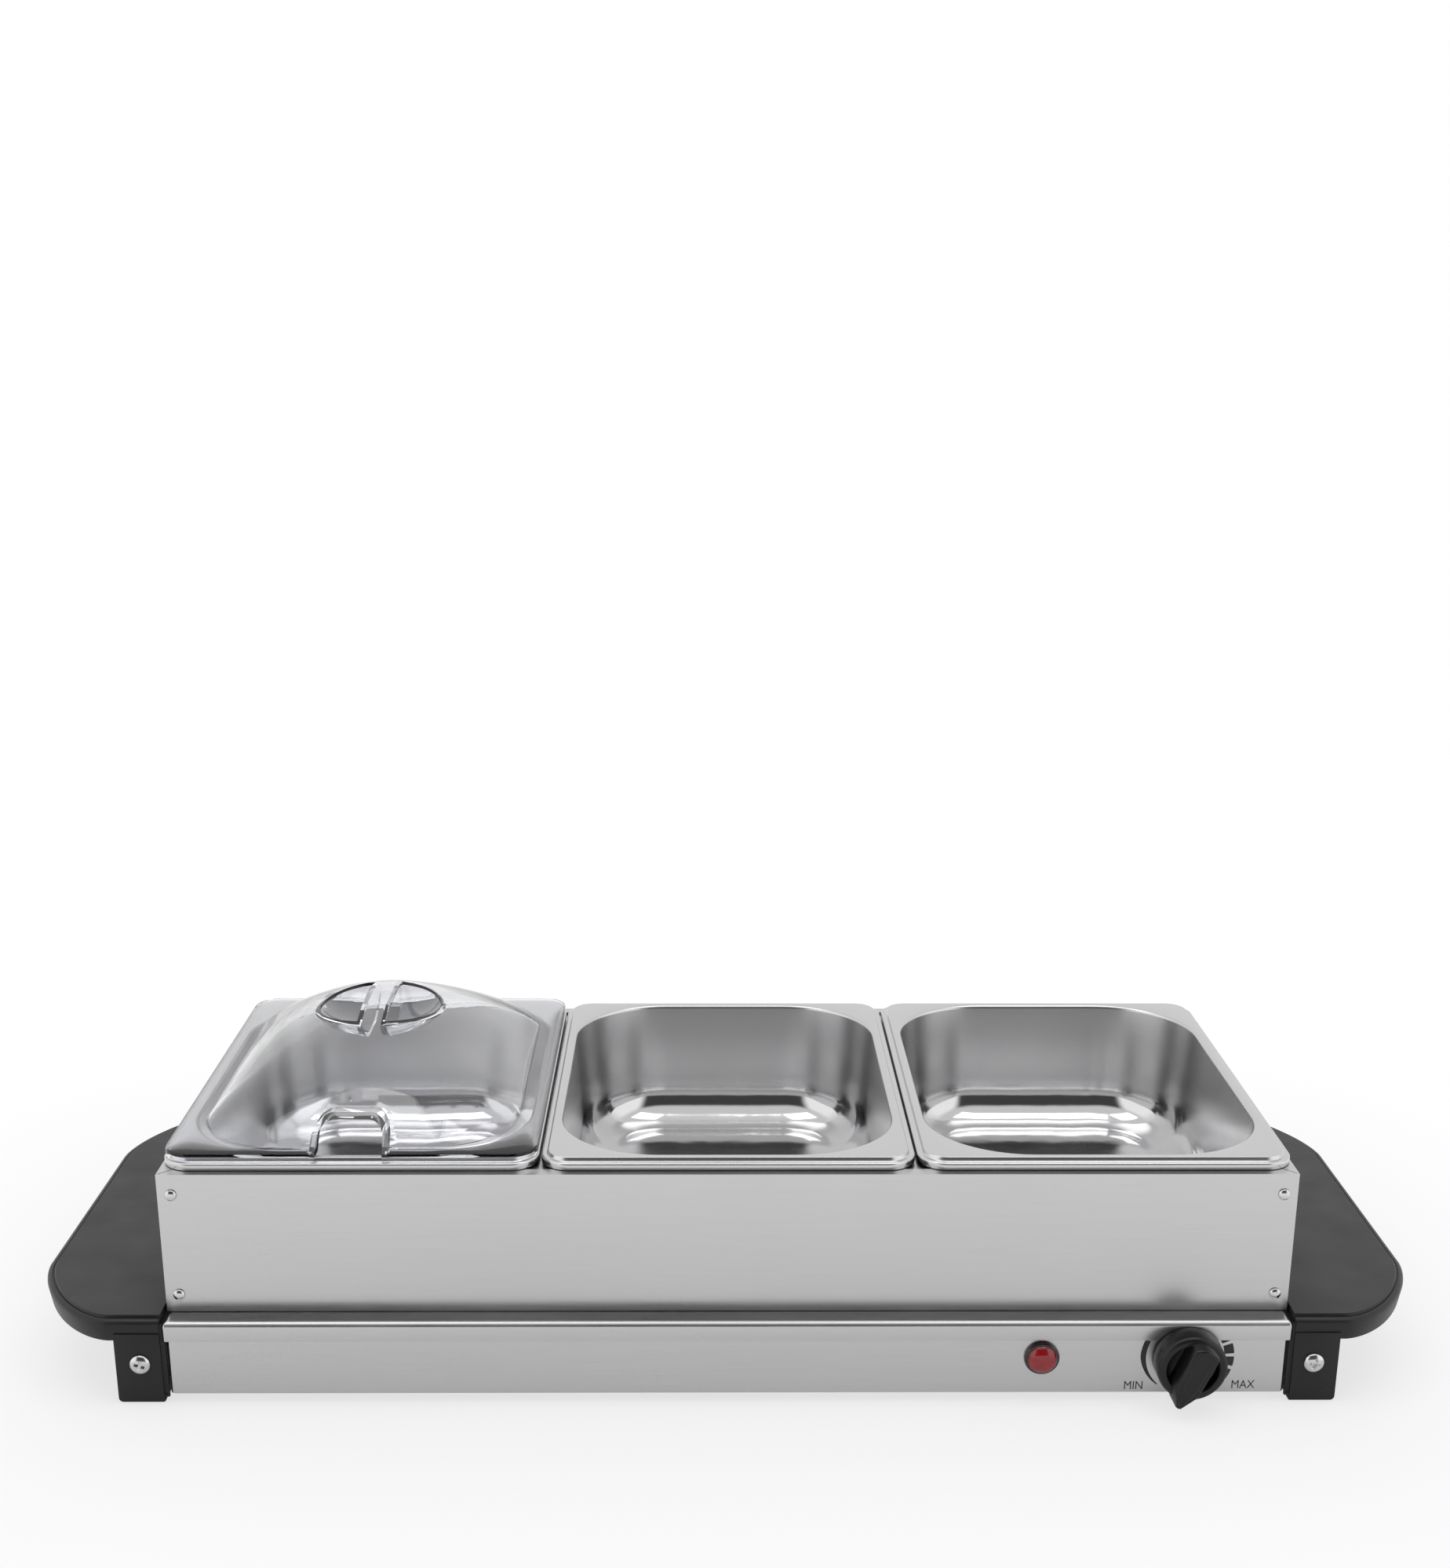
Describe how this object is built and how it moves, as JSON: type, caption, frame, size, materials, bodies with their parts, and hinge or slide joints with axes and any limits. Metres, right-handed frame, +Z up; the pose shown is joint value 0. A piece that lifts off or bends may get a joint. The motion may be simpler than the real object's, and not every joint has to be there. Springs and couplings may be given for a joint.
{
  "type": "electric buffet server",
  "caption": "Electric food warmer: a low stainless base with black end handles, a lift-off frame, food pans hanging side by side and a clear lid with a spoon notch.",
  "frame": {"origin": "on the table, under the middle of the whole object's box", "axes": "+X along the row of pans, to the right seen from the control; +Y to the back, away from the control; +Z up"},
  "size_m": [0.6328, 0.267, 0.1519],
  "materials": {
    "brushed_stainless": "brushed",
    "polished_stainless": "polished, with a satin rim",
    "zinc_plate": "zinc plated",
    "satin_black_plastic": "satin",
    "knob_plastic": "semi gloss",
    "clear_plastic": "clear, glossy",
    "lamp_red": "gloss, translucent",
    "heater_sheath": "oxidised",
    "ceramic": "matte",
    "black_rubber": "matte",
    "wire_brown": "matte",
    "wire_blue": "matte",
    "wire_green": "matte, with a yellow stripe left out"
  },
  "bodies": {
    "base": {"warming_plate": "brushed_stainless", "base_shell": "brushed_stainless", "handle_screw_front_left": "polished_stainless", "handle_screw_front_right": "polished_stainless", "handle_screw_rear_left": "polished_stainless", "handle_screw_rear_right": "polished_stainless", "bottom_cover": "zinc_plate", "cover_screw_1": "zinc_plate", "cover_screw_2": "zinc_plate", "cover_screw_3": "zinc_plate", "cover_screw_4": "zinc_plate", "handle_bracket_left": "zinc_plate", "handle_bracket_right": "zinc_plate", "thermostat_body": "zinc_plate", "thermostat_nut": "zinc_plate", "element_clamp_1": "zinc_plate", "element_clamp_2": "zinc_plate", "element_clamp_3": "zinc_plate", "heat_reflector": "zinc_plate", "thermal_fuse": "zinc_plate", "earth_screw": "zinc_plate", "handle_left": "satin_black_plastic", "handle_right": "satin_black_plastic", "lamp_lens": "lamp_red", "heating_element": "heater_sheath", "lamp_body": "ceramic", "terminal_block": "ceramic", "cord_gland": "black_rubber", "foot_pad_front_left": "black_rubber", "foot_pad_front_right": "black_rubber", "foot_pad_rear_left": "black_rubber", "foot_pad_rear_right": "black_rubber", "lead_live": "wire_brown", "lead_switched": "wire_brown", "lead_fuse": "wire_brown", "lead_lamp_live": "wire_brown", "lead_neutral": "wire_blue", "lead_lamp_neutral": "wire_blue", "lead_earth": "wire_green"},
    "control": {"control_knob": "knob_plastic", "thermostat_shaft": "zinc_plate"},
    "frame": {"frame_front": "brushed_stainless", "frame_rear": "brushed_stainless", "frame_left": "brushed_stainless", "frame_right": "brushed_stainless", "frame_divider_left": "brushed_stainless", "frame_divider_right": "brushed_stainless", "rivet_front_left_lower": "polished_stainless", "rivet_front_left_upper": "polished_stainless", "rivet_front_right_lower": "polished_stainless", "rivet_front_right_upper": "polished_stainless", "rivet_rear_left_lower": "polished_stainless", "rivet_rear_left_upper": "polished_stainless", "rivet_rear_right_lower": "polished_stainless", "rivet_rear_right_upper": "polished_stainless"},
    "pan_left": {"pan_left": "polished_stainless"},
    "pan_middle": {"pan_middle": "polished_stainless"},
    "pan_right": {"pan_right": "polished_stainless"},
    "lid": {"lid_left": "clear_plastic"}
  },
  "joints": [
    {"name": "frame_lift", "type": "slide", "parent": "base", "child": "frame", "axis": [0, 0, 1], "range_m": [0, 0.1]},
    {"name": "pan_left_lift", "type": "slide", "parent": "frame", "child": "pan_left", "axis": [0, 0, 1], "range_m": [0, 0.1]},
    {"name": "pan_middle_lift", "type": "slide", "parent": "frame", "child": "pan_middle", "axis": [0, 0, 1], "range_m": [0, 0.1]},
    {"name": "pan_right_lift", "type": "slide", "parent": "frame", "child": "pan_right", "axis": [0, 0, 1], "range_m": [0, 0.1]},
    {"name": "lid_lift", "type": "slide", "parent": "pan_left", "child": "lid", "axis": [0, 0, 1], "range_m": [0, 0.08]},
    {"name": "knob_turn", "type": "hinge", "parent": "base", "child": "control", "pos_m": [0.2045, -0.115, 0.022], "axis": [0, 1, 0], "range_deg": [0, 284]}
  ]
}
